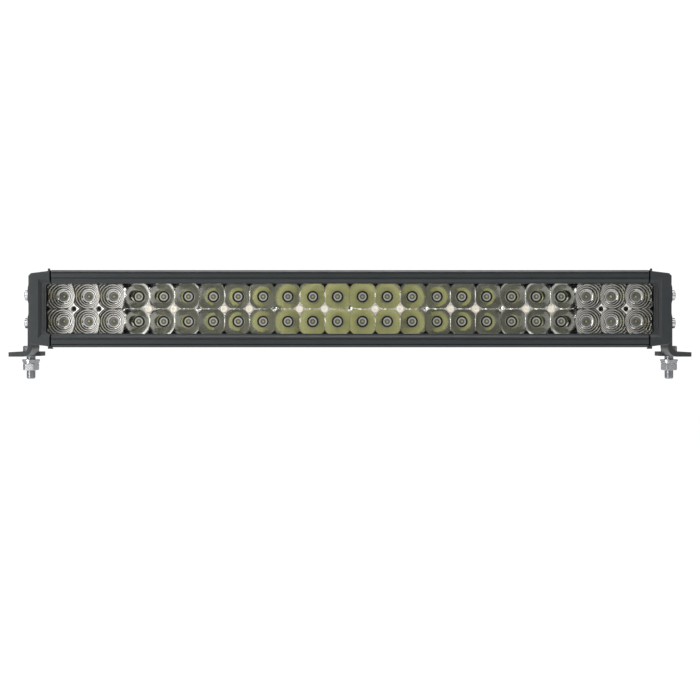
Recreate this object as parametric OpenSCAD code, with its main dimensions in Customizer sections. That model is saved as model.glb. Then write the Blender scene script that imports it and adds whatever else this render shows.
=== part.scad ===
// LED light bar: a dual-row work lamp on two end brackets, with all its fasteners.
// Millimetres. X runs along the bar, the lamp shines towards -Y and +Z is up.
// The origin is midway between the two foot bolts, on the plane under the bracket feet.

/* [Optics] */
// Distance between neighbouring LEDs, both ways
cell_pitch = 22.2; // [22:0.1:22.4]
// Focal length of each reflector cell
focal_length = 2.5; // [2.4:0.05:2.6]
// Depth of the LED bases' fronts behind the front plane
led_depth = 21.2; // [21:0.1:21.4]
// Depth of the reflector rims behind the front plane
rim_depth = 5.2; // [5.1:0.1:5.6]

/* [Lamp body] */
// Height of the extruded profile
profile_height = 67.9; // [67:0.1:69]
// Depth of the lamp from front plane to fin tips
lamp_depth = 62; // [60:1:70]
// Length of each end cap
cap_length = 18.7; // [18.6:0.1:19.4]
// From the last reflector to the end of the lamp
end_margin = 15.6; // [15.4:0.1:17]
// Distance between cooling fins
fin_pitch = 4.6; // [4.4:0.1:4.7]
// Thickness of a cooling fin
fin_t = 1.8; // [1.4:0.1:2.2]

/* [Brackets] */
// Thickness of the bracket sheet
sheet_t = 4; // [3.6:0.1:4.4]
// Width of the bracket leg
leg_width = 26; // [24:1:28]
// Height of the bracket over its foot
bracket_height = 65; // [64:1:70]
// Depth of the foot outwards from the leg's inner face
foot_depth = 21.7; // [21:0.1:26]
// Length of the foot along Y
foot_length = 49.4; // [49:0.1:55]
// Height of the pivot over the mounting plane
pivot_z = 30; // [30:1:32]
// Distance from the pivot to the arc slot
slot_radius = 25; // [24:1:26]

/* [Fasteners] */
// Diameter of the pivot and lock screws
screw_d = 5; // [5:0.5:5]
// Length of the pivot and lock screws
screw_length = 12; // [12:1:14]
// Diameter of the foot bolts
bolt_d = 8; // [8:1:8]
// Length of the foot bolts
bolt_length = 25; // [25:1:35]
// Panel thickness that the foot bolts are set for
panel_gap = 3.2; // [2.5:0.1:5]

/* [Hidden] */
$fn = 48;
eps = 1;
anthracite = "#3f4446";
zinc = "#b4b6b8";
steel = "#6b6e72";
black = "#1b1d1f";

// Columns and modules of the optics
rows = 2;
module_columns = 3;
modules = 8;
columns = module_columns * modules;
module_length = module_columns * cell_pitch;
optics_half = columns * cell_pitch / 2;
lamp_half = optics_half + end_margin;
gasket_t = 1.3;
housing_half = lamp_half - cap_length - gasket_t;
half_height = profile_height / 2;

// Depths behind the front plane, from the lens to the fins
bezel_depth = 0.3;
strip_depth = 1.7;
lens_depth = 3;
lens_t = 2;
seal_t = 1;
bezel_pocket = 4.7;
groove_depth = 1.5;
board_t = 1.6;
package_t = 1.2;
board_depth = led_depth + package_t;
pad_t = 0.4;
web_depth = board_depth + board_t + pad_t;
web_t = 5;
tunnel_depth = web_depth + web_t;
tunnel_end = tunnel_depth + 15.1;
tunnel_wall = 2.5;
shell_depth = web_depth + web_t;
gland_seat = tunnel_end + tunnel_wall;
fins_each_side = 7;
wall = 2.4;
channel_depth = 7.1;

// Heights above the middle of the lamp
opening_half = 22;
cavity_half = rows * cell_pitch / 2 + 0.2;
lens_half = 24.2;
groove_low = 26;
groove_high = 27.3;
bezel_half = 31.2;
channel_middle = 28.25;
channel_height = 6.6;
lip_half = 32.05;
tunnel_half = 14.5;

// Chamfered inner edge of the bezels, with a narrow land beside the lens; heights above the middle
edge_high = 25.15;
edge_low = 23.4;
recess_floor = 2.2;
// The same chamfer where it meets the deeper floor of the end caps' recess
recess_low = edge_high - (recess_floor - bezel_depth) * (edge_high - edge_low) / (strip_depth - bezel_depth);
// Room round the bezels in the housing's pocket: behind the groove's depth, and in front of it
pocket_gap = 0.3;
mouth_gap = 0.7;
// How far in from the groove the recess's corners are cut
corner_cut = 7;

// Reflector cells
vertex_depth = led_depth + focal_length;
throat_r = 5.2;
throat_depth = cell_depth(throat_r);
boss_depth = cell_depth(12.1);
module_gap = 0.1;
cell_radii = [throat_r, 7, 8.8, 10.4, 12.2, 14.4];
flood_step = 2.6;
reflector_screw_r = 1.5;
reflector_end = optics_half + 0.85;
joint_half = module_length / 2 - module_gap;
outer_half = reflector_end - optics_half + module_length / 2;

// Screws that hold the end caps: [depth, height] of each port in the profile
port_spots = [[tunnel_depth + 0.6, 22.5], [52, 19]];
port_r = 4.5;
cap_screw_r = 2;
cap_counterbore = 5;

// Where things lie across the bracket at each end, outwards from the end cap
spacer_t = 1;
slack = 0.3;
washer_t = 1;
spring_t = 1.2;
leg_x = lamp_half + spacer_t + slack;
washer_x = leg_x + sheet_t + slack;
spring_x = washer_x + washer_t;
head_x = spring_x + spring_t;

// Bracket, lamp and pivot in the frame of the part
ear_edge = 11.7;
leg_y = -(foot_length - leg_width / 2 - ear_edge);
front_y = leg_y - lamp_depth / 2;
lamp_z = pivot_z + slot_radius / 2;
slot_z = pivot_z + slot_radius;
bend_r = 8.5;
bolt_x = leg_x + foot_depth / 2;
slot_half_angle = 8.6;
slot_width = 7.1;
pivot_hole_r = 3.3;

// Cable gland in the rear wall of the driver tunnel, and the vent in the left cap
gland_x = 120;
gland_bore_r = 3.5;
seal_bore_r = 3.25;
gland_thread_r = 6;
vent_depth = 53;

// Depth of a reflector cell's surface at radius r
function cell_depth(r) = vertex_depth - r * r / (4 * focal_length);

// X of column i, and of the middle of module m
function column_x(i) = (i - (columns - 1) / 2) * cell_pitch;
function module_x(m) = (m - (modules - 1) / 2) * module_length;

// ---- Helpers ----

// Moves children from the lamp's own frame (front plane at y = 0, middle at z = 0) to the part's
module in_lamp() {
    translate([0, front_y, lamp_z]) children();
}

// Extrudes a (depth, height) outline along X from x0 to x1
module along_x(x0, x1) {
    translate([x0, 0, 0]) rotate([90, 0, 90]) linear_extrude(x1 - x0) children();
}

// Extrudes an outline seen from the front, as (x, z), from one depth to another
module from_front(depth0, depth1) {
    rotate([90, 0, 0]) translate([0, 0, -depth1]) linear_extrude(depth1 - depth0) children();
}

// Turns a shape about Z so that its axis points backwards from (x, depth, z)
module along_y(x, depth, z) {
    translate([x, depth, z]) rotate([-90, 0, 0]) children();
}

// Children at both ends, mirrored
module both_ends() {
    for (side = [0, 1]) mirror([side, 0, 0]) children();
}

// A box from one corner to the opposite one
module span(low, high) {
    translate(low) cube(high - low);
}

// A rectangle from (x0, y0) to (x1, y1) with round corners
module rounded_rectangle(x0, y0, x1, y1, r) {
    translate([x0 + r, y0]) square([x1 - x0 - 2 * r, y1 - y0]);
    translate([x0, y0 + r]) square([x1 - x0, y1 - y0 - 2 * r]);
    for (x = [x0 + r, x1 - r], y = [y0 + r, y1 - r]) translate([x, y]) circle(r);
}

// A ring round Z from z = 0 up
module ring(outer_r, inner_r, t) {
    difference() {
        cylinder(r = outer_r, h = t);
        translate([0, 0, -eps]) cylinder(r = inner_r, h = t + 2 * eps);
    }
}

// A spring washer round Z, with its split
module spring_washer(outer_r, inner_r, t) {
    difference() {
        ring(outer_r, inner_r, t);
        rotate([25, 0, 0]) translate([0, -0.5, -t]) cube([outer_r + eps, 1, 4 * t]);
    }
}

// A hexagon prism round Z with its corners turned off at both or only its upper end
module hexagon(across_flats, t, both = true) {
    corner_r = across_flats / sqrt(3);
    cut = corner_r - across_flats / 2 + 0.3;
    intersection() {
        cylinder(r = corner_r, h = t, $fn = 6);
        rotate_extrude() polygon([
            [0, 0],
            [both ? corner_r - cut : corner_r + eps, 0],
            [corner_r + eps, both ? (cut + eps) / 2 : 0],
            [corner_r + eps, t - (cut + eps) / 2],
            [corner_r - cut, t],
            [0, t]
        ]);
    }
}

// A pan head over z = 0 with a cross recess
module pan_head(r, t) {
    dome_r = (r * r + t * t) / t;
    difference() {
        intersection() {
            cylinder(r = r, h = t);
            translate([0, 0, t - dome_r]) sphere(dome_r, $fn = 96);
        }
        for (turn = [0, 90]) rotate(turn) span([-r / 2, -r / 9, t / 2], [r / 2, r / 9, t + eps]);
    }
}

// A pan-head screw whose head stands over z = 0 and whose shank hangs below it
module pan_screw(head_r, head_t, shank_r, length) {
    pan_head(head_r, head_t);
    translate([0, 0, -length]) cylinder(r1 = shank_r * 0.75, r2 = shank_r, h = shank_r * 0.5);
    translate([0, 0, -length + shank_r * 0.5]) cylinder(r = shank_r, h = length - shank_r * 0.5);
}

// Children turned to point outwards along X at both ends, at depth and height in the lamp
module outwards(x, depth, z) {
    both_ends() translate([x, depth, z]) rotate([0, 90, 0]) children();
}

// ---- Housing, bezels, lens ----

// Cooling fin at height z, from the web or from the tunnel's rear wall to the back of the lamp
module fin_outline(z) {
    start = abs(z) < tunnel_half + tunnel_wall ? tunnel_end : web_depth + 1;
    translate([start, z - fin_t / 2]) square([lamp_depth - start, fin_t]);
}

module housing_outline() {
    chamfer = half_height - lip_half;
    difference() {
        union() {
            polygon([
                [0, -lip_half], [chamfer, -half_height], [shell_depth, -half_height],
                [shell_depth, half_height], [chamfer, half_height], [0, lip_half]
            ]);
            translate([web_depth, -tunnel_half - tunnel_wall])
                square([gland_seat - web_depth, 2 * (tunnel_half + tunnel_wall)]);
            for (i = [-fins_each_side : fins_each_side]) fin_outline(i * fin_pitch);
            for (spot = port_spots, side = [-1, 1]) translate([spot[0], side * spot[1]]) circle(port_r);
        }
        // bezel and lens pocket, then the chamber of the reflectors
        translate([-eps, -bezel_half - mouth_gap])
            square([groove_depth + eps, 2 * (bezel_half + mouth_gap)]);
        translate([0, -bezel_half - pocket_gap]) square([bezel_pocket, 2 * (bezel_half + pocket_gap)]);
        translate([0, -lens_half - 0.2]) square([lens_depth + lens_t + seal_t, 2 * lens_half + 0.4]);
        translate([0, -cavity_half]) square([web_depth, 2 * cavity_half]);
        // side channels, driver tunnel and open space behind the shell's web
        for (side = [-1, 1]) translate([channel_depth, side * channel_middle - channel_height / 2])
            square([web_depth - wall - channel_depth, channel_height]);
        translate([tunnel_depth, -tunnel_half]) square([tunnel_end - tunnel_depth, 2 * tunnel_half]);
        for (spot = port_spots, side = [-1, 1])
            translate([spot[0], side * spot[1]]) circle(cap_screw_r - 0.2);
    }
}

module housing() color(anthracite) in_lamp() {
    difference() {
        along_x(-housing_half, housing_half) housing_outline();
        // a clear pocket in the fins round the cable gland
        span([gland_x - 16, gland_seat, -16], [gland_x + 16, lamp_depth + eps, 16]);
        along_y(gland_x, tunnel_end - eps, 0) cylinder(r = gland_thread_r + 0.05, h = tunnel_wall + 2 * eps);
        // the reflector screws go into the web
        for (m = [0 : modules - 1], side = [-1, 1])
            along_y(module_x(m) + side * cell_pitch / 2, web_depth - eps, 0)
                cylinder(r = reflector_screw_r + 0.05, h = web_t + 2 * eps);
    }
}

// Upper bezel strip: flat, groove, chamfer and the land beside the lens
module bezel_outline() {
    translate([bezel_depth, groove_high]) square([bezel_pocket - bezel_depth, bezel_half - groove_high]);
    translate([groove_depth, lens_half + 0.2])
        square([bezel_pocket - groove_depth, bezel_half - lens_half - 0.2]);
    polygon([
        [strip_depth, opening_half], [lens_depth, opening_half], [lens_depth, groove_low],
        [bezel_depth, groove_low], [bezel_depth, edge_high], [strip_depth, edge_low]
    ]);
    translate([groove_depth, lens_half + 0.2])
        square([lens_depth - groove_depth, groove_high - lens_half - 0.2]);
}

module bezel() color(anthracite) along_x(-housing_half, housing_half) bezel_outline();

module upper_bezel() in_lamp() bezel();

module lower_bezel() in_lamp() mirror([0, 0, 1]) bezel();

lens_end = optics_half + 1.8;

module lens() color("#dfe6e8", 0.35) in_lamp()
    span([-lens_end, lens_depth, -lens_half], [lens_end, lens_depth + lens_t, lens_half]);

module lens_seal() color(black) in_lamp() difference() {
    seal_depth = lens_depth + lens_t;
    span([-lens_end, seal_depth, -lens_half], [lens_end, seal_depth + seal_t, lens_half]);
    span([-reflector_end - 0.2, 0, -cavity_half],
         [reflector_end + 0.2, seal_depth + eps + seal_t, cavity_half]);
}

// ---- End caps ----

cap_x = lamp_half - cap_length;
flange_t = 1.65;
lug_half = half_height + 1.3;
lug_depth = 3;
window_x = optics_half + 0.5;
window_cut = 2;
recess_x = lamp_half - 8.8;
slope_run = 2.35;
corner_run = 2.9;
bead_x = optics_half + 2;
bead_t = 0.5;
// The bead keeps this far from the slope at the recess's end, and reaches this far over its corner cut
bead_gap = 0.25;
bead_inset = 0.5;
// Depth of the threads for the pivot and lock screws
tapped = 9;
cap_hollow_depth = tunnel_depth + 3;
cap_hollow_half = tunnel_half - 5;

// Outline of the right cap seen from the front, as (x, z)
module cap_front_outline() {
    end_half = half_height - 4.95;
    shoulder_half = half_height - 2.75;
    shoulder_x = lamp_half - 2.2;
    root_half = half_height - 0.7;
    polygon([
        [cap_x, -root_half], [shoulder_x, -shoulder_half], [lamp_half, -end_half],
        [lamp_half, end_half], [shoulder_x, shoulder_half], [cap_x, root_half]
    ]);
}

// Window over the lens, seen from the front as (x, z)
module window_outline() {
    straight_x = window_x - window_cut;
    straight_half = opening_half - window_cut;
    polygon([
        [cap_x - eps, -opening_half], [straight_x, -opening_half], [window_x, -straight_half],
        [window_x, straight_half], [straight_x, opening_half], [cap_x - eps, opening_half]
    ]);
}

// A slope seen from one side, as (distance, depth): it falls from the face at `edge` over `run`
module recess_slope(edge, run) {
    reach = 80;
    overshoot = eps * run / recess_floor;
    polygon([
        [edge - reach, -eps], [edge + overshoot, -eps],
        [edge - run, recess_floor], [edge - reach, recess_floor]
    ]);
}

// The recess round the lens opening: a sloping end, two sloping corners and the bezels' chamfers
module cap_recess() {
    corner_u = (recess_x + groove_low - corner_cut) / sqrt(2);
    reach = 2 * lamp_half;
    intersection() {
        translate([0, 0, -reach]) linear_extrude(2 * reach) recess_slope(recess_x, slope_run);
        for (turn = [-45, 45]) rotate([0, turn, 0]) translate([0, 0, -reach])
            linear_extrude(2 * reach) recess_slope(corner_u, corner_run);
        along_x(cap_x - eps, lamp_half) polygon([
            [-eps, -groove_low], [bezel_depth, -groove_low], [bezel_depth, -edge_high],
            [recess_floor, -recess_low], [recess_floor, recess_low],
            [bezel_depth, edge_high], [bezel_depth, groove_low], [-eps, groove_low]
        ]);
    }
}

module cap_solid() {
    difference() {
        union() {
            from_front(0, lamp_depth) cap_front_outline();
            span([cap_x, 0, -half_height], [cap_x + flange_t, lamp_depth, half_height]);
            span([cap_x, 0, -lug_half], [cap_x + flange_t, lug_depth, lug_half]);
        }
        cap_recess();
        // window over the lens, seat of the lens and chamber of the last reflector
        from_front(-eps, lens_depth + eps) window_outline();
        span([cap_x - eps, lens_depth, -lens_half - 0.2],
             [lens_end + 0.2, lens_depth + lens_t + seal_t, lens_half + 0.2]);
        span([cap_x - eps, lens_depth, -cavity_half], [lens_end + 0.2, web_depth, cavity_half]);
        // hollow over the driver tunnel
        span([cap_x - eps, cap_hollow_depth, -cap_hollow_half],
             [cap_x + 8, lamp_depth - 6, cap_hollow_half]);
        // threads of the pivot and lock screws
        for (side = [-1, 1]) translate([lamp_half - tapped, lamp_depth / 2, side * slot_radius / 2])
            rotate([0, 90, 0]) cylinder(r = screw_d / 2 + 0.05, h = tapped + eps);
        // cap screw holes with their counterbores
        for (spot = port_spots, side = [-1, 1]) translate([0, spot[0], side * spot[1]]) rotate([0, 90, 0]) {
            translate([0, 0, cap_x - eps]) cylinder(r = cap_screw_r + 0.25, h = cap_length + 2 * eps);
            translate([0, 0, lamp_half - cap_counterbore]) cylinder(r = 4.3, h = cap_counterbore + eps);
        }
    }
}

module right_end_cap() color(anthracite) in_lamp() cap_solid();

module left_end_cap() color(anthracite) in_lamp() difference() {
    mirror([1, 0, 0]) cap_solid();
    translate([-lamp_half - eps, vent_depth, 0]) rotate([0, 90, 0]) cylinder(r = 3.05, h = 5 + eps);
}

// Lip of the gasket that hangs below the lamp, seen from the front as (x, z)
module gasket_lip_outline() {
    lip_root = -half_height + 1;
    polygon([
        [cap_x, lip_root], [housing_half, lip_root], [housing_half, -half_height - 0.1],
        [housing_half - 1, -lug_half], [cap_x, -lug_half]
    ]);
}

module gasket_outline() {
    difference() {
        union() {
            translate([bezel_pocket, 0.5 - half_height])
                square([shell_depth - bezel_pocket, profile_height - 1]);
            translate([shell_depth, -tunnel_half - tunnel_wall])
                square([gland_seat - shell_depth, 2 * (tunnel_half + tunnel_wall)]);
        }
        translate([0, -lens_half - 0.2]) square([lens_depth + lens_t + seal_t, 2 * lens_half + 0.4]);
        translate([0, -cavity_half]) square([web_depth, 2 * cavity_half]);
        translate([cap_hollow_depth, -cap_hollow_half])
            square([tunnel_end - cap_hollow_depth, 2 * cap_hollow_half]);
        for (side = [-1, 1])
            translate([port_spots[0][0], side * port_spots[0][1]]) circle(cap_screw_r + 0.3);
    }
}

module end_gasket() color(black) {
    along_x(housing_half, cap_x) gasket_outline();
    from_front(0.6, bezel_pocket + eps) gasket_lip_outline();
}

module right_cap_gasket() in_lamp() end_gasket();

module left_cap_gasket() in_lamp() mirror([1, 0, 0]) end_gasket();

// Black silicone in the recess beside the window
module lens_bead() color(black) from_front(recess_floor - bead_t, recess_floor) {
    edge_x = recess_x - slope_run - bead_gap;
    wide_half = groove_low - corner_cut + bead_inset;
    narrow_half = wide_half - (edge_x - bead_x);
    polygon([
        [bead_x, -wide_half], [edge_x, -narrow_half], [edge_x, narrow_half], [bead_x, wide_half]
    ]);
}

module right_lens_bead() in_lamp() lens_bead();

module left_lens_bead() in_lamp() mirror([1, 0, 0]) lens_bead();

module cap_screws() color(steel) for (spot = port_spots, side = [-1, 1])
    translate([lamp_half - cap_counterbore, spot[0], side * spot[1]]) rotate([0, 90, 0])
        pan_screw(3.9, 2.6, cap_screw_r - 0.25, 30);

module right_cap_screws() in_lamp() cap_screws();

module left_cap_screws() in_lamp() mirror([1, 0, 0]) cap_screws();

// ---- LEDs ----

// The right half's board, with a hole for each reflector screw
module led_board() color(black) difference() {
    span([0.3, board_depth, -cavity_half + 0.4],
         [optics_half - 0.8, board_depth + board_t, cavity_half - 0.4]);
    reflector_screw_holes();
}

module reflector_screw_holes() {
    for (m = [modules / 2 : modules - 1], side = [-1, 1])
        along_y(module_x(m) + side * cell_pitch / 2, board_depth - eps, 0)
            cylinder(r = reflector_screw_r + 0.3, h = board_t + pad_t + 2 * eps);
}

module right_led_board() in_lamp() led_board();

module left_led_board() in_lamp() mirror([1, 0, 0]) led_board();

module thermal_pads() color("#9aa4b0") in_lamp() both_ends() difference() {
    span([2, board_depth + board_t, -cavity_half + 2], [housing_half - 1, web_depth, cavity_half - 2]);
    reflector_screw_holes();
}

// Children at every LED, turned so that +Z points backwards from the given depth
module at_each_led(depth) {
    in_lamp() for (i = [0 : columns - 1], side = [-1, 1])
        along_y(column_x(i), depth, side * cell_pitch / 2) children();
}

phosphor_r = 0.8;
dome_r = 2.5;

module led_packages() color("#cfd0cc") at_each_led(board_depth - package_t)
    cylinder(r = 3.75, h = package_t);

// Bead of phosphor over each chip
module led_dies() color("#d9d04a") at_each_led(board_depth - package_t) difference() {
    sphere(phosphor_r);
    span([-dome_r, -dome_r, 0], [dome_r, dome_r, dome_r]);
}

module led_domes() color("#d8dcc8", 0.5) at_each_led(board_depth - package_t) difference() {
    sphere(dome_r);
    span([-dome_r - eps, -dome_r - eps, 0], [dome_r + eps, dome_r + eps, dome_r + eps]);
    sphere(phosphor_r);
}

// ---- Reflectors ----

// The hollow of one spot cell, a paraboloid in cone bands with the LED at its focus
module spot_cell() {
    last = len(cell_radii) - 1;
    rotate_extrude() polygon(concat(
        [[0, board_depth], [throat_r, board_depth]],
        [for (r = cell_radii) [r, cell_depth(r)]],
        [[0, cell_depth(cell_radii[last])]]
    ));
}

// The hollow of one flood cell, the same paraboloid broken into rings
module flood_cell() {
    rings = 4;
    tread = 0.5;
    rotate_extrude() polygon(concat(
        [[0, board_depth], [throat_r, board_depth], [throat_r, throat_depth]],
        [for (i = [1 : rings], end = [0, 1])
            let (r = throat_r + i * flood_step - 0.4)
            [end == 0 ? r - tread : r, cell_depth(end == 0 ? r - tread : r) + (end == 0 ? tread : -tread)]],
        [[0, cell_depth(throat_r + rings * flood_step) - eps]]
    ));
}

// A moulding of three by two cells; a flood moulding has other cells and blind screw bosses
module reflector(m, flood, left_half, right_half) color("#c9cbcc") in_lamp()
translate([module_x(m), 0, 0]) difference() {
    span([-left_half, rim_depth, -rows * cell_pitch / 2], [right_half, throat_depth, rows * cell_pitch / 2]);
    for (column = [-1 : 1], side = [-1, 1]) along_y(column * cell_pitch, 0, side * cell_pitch / 2) {
        if (flood) flood_cell();
        else spot_cell();
    }
    for (side = [-1, 1]) along_y(side * cell_pitch / 2, 0, 0) {
        cylinder(r = 7, h = boss_depth);
        cylinder(r = flood ? 1.85 : reflector_screw_r + 0.2, h = throat_depth + eps);
    }
}

// The flood mouldings are longer at the end of the lamp
module left_flood_reflector() reflector(0, true, outer_half, joint_half);

module right_flood_reflector() reflector(modules - 1, true, joint_half, outer_half);

module spot_reflector_1() reflector(1, false, joint_half, joint_half);

module spot_reflector_2() reflector(2, false, joint_half, joint_half);

module spot_reflector_3() reflector(3, false, joint_half, joint_half);

module spot_reflector_4() reflector(4, false, joint_half, joint_half);

module spot_reflector_5() reflector(5, false, joint_half, joint_half);

module spot_reflector_6() reflector(6, false, joint_half, joint_half);

// Screws from the front, with their heads on the bosses
module spot_reflector_screws() color("#d8d2bc") in_lamp()
    for (m = [1 : modules - 2], side = [-1, 1])
        translate([module_x(m) + side * cell_pitch / 2, boss_depth, 0]) rotate([90, 0, 0])
            pan_screw(3.15, 2.2, reflector_screw_r, tunnel_depth - boss_depth - 1);

// Screws from behind the web, which stop inside the bosses
module flood_reflector_screws() color(black) in_lamp()
    for (m = [0, modules - 1], side = [-1, 1])
        along_y(module_x(m) + side * cell_pitch / 2, tunnel_depth, 0)
            pan_screw(2.8, 2, reflector_screw_r, tunnel_depth - boss_depth - 3.5);

// ---- Driver ----

driver_half = 75;
driver_depth = tunnel_end - 3;

module driver_board() color("#2f6b46") in_lamp()
    span([-driver_half, driver_depth, -tunnel_half + 0.5],
         [driver_half, driver_depth + board_t, tunnel_half - 0.5]);

module driver_inductors() color("#3a3a3c") in_lamp() for (side = [-1, 1])
    along_y(side * 20, driver_depth - 9, 0) ring(9, 3.5, 9);

module driver_capacitors() color("#2b3550") in_lamp() for (side = [-1, 1], place = [42, 54])
    along_y(side * place, driver_depth - 9.5, 0) cylinder(r = 5, h = 9.5);

module driver_chips() color(black) in_lamp() for (side = [-1, 1])
    span([side * 66 - 4, driver_depth - 1.6, -5], [side * 66 + 4, driver_depth, 5]);

// ---- Cable gland and vent ----

gland_hex_t = 4.5;
gland_cap_start = gland_seat + gland_hex_t + 0.2;
seal_start = gland_seat + gland_hex_t + 1.3;
seal_length = 5;

module gland_body() color(black) in_lamp() along_y(gland_x, gland_seat, 0) difference() {
    union() {
        translate([0, 0, -tunnel_wall - 1.5]) cylinder(r = gland_thread_r, h = tunnel_wall + 1.5);
        hexagon(17, gland_hex_t);
        cylinder(r = gland_thread_r, h = gland_hex_t + 1.3 + seal_length);
    }
    translate([0, 0, -10]) cylinder(r = gland_bore_r, h = 40);
    translate([0, 0, gland_hex_t + 1.3]) cylinder(r = 5, h = seal_length + eps);
}

module gland_seal() color("#333538") in_lamp() along_y(gland_x, seal_start, 0)
    ring(4.95, seal_bore_r, seal_length);

module gland_cap() color(black) in_lamp() along_y(gland_x, gland_cap_start, 0) difference() {
    union() {
        hexagon(17, 5, false);
        cylinder(r1 = 8.2, r2 = 6.2, h = 7.4);
    }
    translate([0, 0, -eps]) cylinder(r = gland_thread_r + 0.05, h = 6.15 + eps);
    cylinder(r = gland_bore_r, h = 20);
}

module breather_vent() color(black) in_lamp() translate([-lamp_half, vent_depth, 0]) rotate([0, 90, 0]) {
    translate([0, 0, -0.9]) difference() {
        cylinder(r = 6, h = 0.9);
        for (turn = [0 : 60 : 300]) rotate(turn) translate([3.6, 0, -eps]) cylinder(r = 0.7, h = eps + 0.5);
    }
    cylinder(r = 3, h = 4.5);
}

// ---- Brackets ----

// Leg outline as (y, z) from the pivot, up from the top of the bend
module leg_outline() {
    top = bracket_height - pivot_z;
    low = bend_r - pivot_z;
    half = leg_width / 2;
    notch = 4.3;
    notch_low = 5.7;
    notch_high = 20;
    difference() {
        union() {
            rounded_rectangle(-half, 0, half, top, 5.3);
            translate([-half, low]) square([leg_width, top / 2 - low]);
        }
        for (side = [0, 1]) mirror([side, 0]) polygon([
            [half + eps, notch_low - eps], [half - notch, notch_low + notch],
            [half - notch, notch_high - notch], [half + eps, notch_high + eps]
        ]);
        circle(pivot_hole_r);
        arc_slot();
    }
}

// A slot along a circle round the pivot, with round ends
module arc_slot() {
    reach = 2 * slot_radius;
    spread = reach * tan(slot_half_angle);
    intersection() {
        difference() {
            circle(slot_radius + slot_width / 2, $fn = 96);
            circle(slot_radius - slot_width / 2, $fn = 96);
        }
        polygon([[0, 0], [-spread, reach], [spread, reach]]);
    }
    for (turn = [-slot_half_angle, slot_half_angle])
        rotate(turn) translate([0, slot_radius]) circle(slot_width / 2);
}

// The right bracket: leg up the end cap, foot outwards, with an ear behind for the bolt
module bracket() {
    front = leg_y - leg_width / 2;
    back = leg_y + leg_width / 2;
    ear_end = front + foot_length;
    foot_x = leg_x + foot_depth;
    relief = 1;
    translate([leg_x, leg_y, pivot_z]) rotate([90, 0, 90]) linear_extrude(sheet_t) leg_outline();
    // the bend, a quarter of a ring along Y
    translate([leg_x + bend_r, back, bend_r]) rotate([90, 0, 0]) linear_extrude(leg_width) intersection() {
        difference() {
            circle(bend_r);
            circle(bend_r - sheet_t);
        }
        translate([-bend_r - eps, -bend_r - eps]) square(bend_r + eps);
    }
    difference() {
        linear_extrude(sheet_t) {
            rounded_rectangle(leg_x, back + relief, foot_x, ear_end, 3);
            translate([leg_x + bend_r, front]) square([foot_x - leg_x - bend_r - 3, ear_end - front - 4]);
            rounded_rectangle(leg_x + bend_r, front, foot_x, ear_end - 6, 3);
        }
        translate([bolt_x, 0, -eps]) cylinder(r = bolt_d / 2 + 0.5, h = sheet_t + 2 * eps);
    }
}

module right_bracket() color(anthracite) bracket();

module left_bracket() color(anthracite) mirror([1, 0, 0]) bracket();

// ---- Pivot and lock fasteners ----

module at_pivot(x) {
    outwards(x, leg_y, pivot_z) children();
}

module at_lock(x) {
    outwards(x, leg_y, slot_z) children();
}

// Flanged bush whose collar turns in the bracket's pivot hole
module pivot_bushes() color("#2a2c2e") at_pivot(lamp_half) difference() {
    union() {
        cylinder(r = 7.25, h = spacer_t);
        cylinder(r = pivot_hole_r - 0.05, h = spacer_t + slack + sheet_t);
    }
    translate([0, 0, -eps]) cylinder(r = screw_d / 2 + 0.05, h = 20);
}

module lock_spacers() color(zinc) at_lock(lamp_half) ring(7.25, screw_d / 2 + 0.05, spacer_t);

module screw_flat_washers() color(zinc) {
    at_pivot(washer_x) ring(7.5, screw_d / 2 + 0.2, washer_t);
    at_lock(washer_x) ring(7.5, screw_d / 2 + 0.2, washer_t);
}

module screw_spring_washers() color(zinc) {
    at_pivot(spring_x) spring_washer(4.6, screw_d / 2 + 0.1, spring_t);
    at_lock(spring_x) spring_washer(4.6, screw_d / 2 + 0.1, spring_t);
}

module machine_screw() color(zinc) pan_screw(4.75, 3.7, screw_d / 2, screw_length);

module pivot_screws() at_pivot(head_x) machine_screw();

module lock_screws() at_lock(head_x) machine_screw();

// ---- Foot fasteners ----

bolt_r = bolt_d / 2;
thread_r = bolt_r - 0.1;
foot_washer_t = 1.6;
foot_spring_t = 2;
nut_t = 6.5;
nut_z = -panel_gap - foot_washer_t - foot_spring_t - nut_t;

module at_foot_bolt(z) {
    both_ends() translate([bolt_x, 0, z]) children();
}

// Hexagon bolt: relieved neck in the foot, plain grip through the panel, thread below it
module foot_bolts() color(steel) at_foot_bolt(0) {
    tip = sheet_t - bolt_length;
    translate([0, 0, sheet_t]) hexagon(13, 5.3, false);
    cylinder(r = thread_r, h = sheet_t);
    translate([0, 0, -panel_gap]) cylinder(r = bolt_r, h = panel_gap);
    translate([0, 0, tip + 1]) cylinder(r = thread_r, h = -panel_gap - tip - 1);
    translate([0, 0, tip]) cylinder(r1 = thread_r - 0.8, r2 = thread_r, h = 1);
}

module foot_flat_washers() color(zinc) at_foot_bolt(-panel_gap - foot_washer_t)
    ring(8, bolt_r + 0.2, foot_washer_t);

module foot_spring_washers() color(zinc) at_foot_bolt(nut_z + nut_t)
    spring_washer(7.4, bolt_r + 0.05, foot_spring_t);

module foot_nuts() color(zinc) at_foot_bolt(nut_z) difference() {
    hexagon(13, nut_t);
    translate([0, 0, -eps]) cylinder(r = thread_r + 0.05, h = nut_t + 2 * eps);
}

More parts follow.
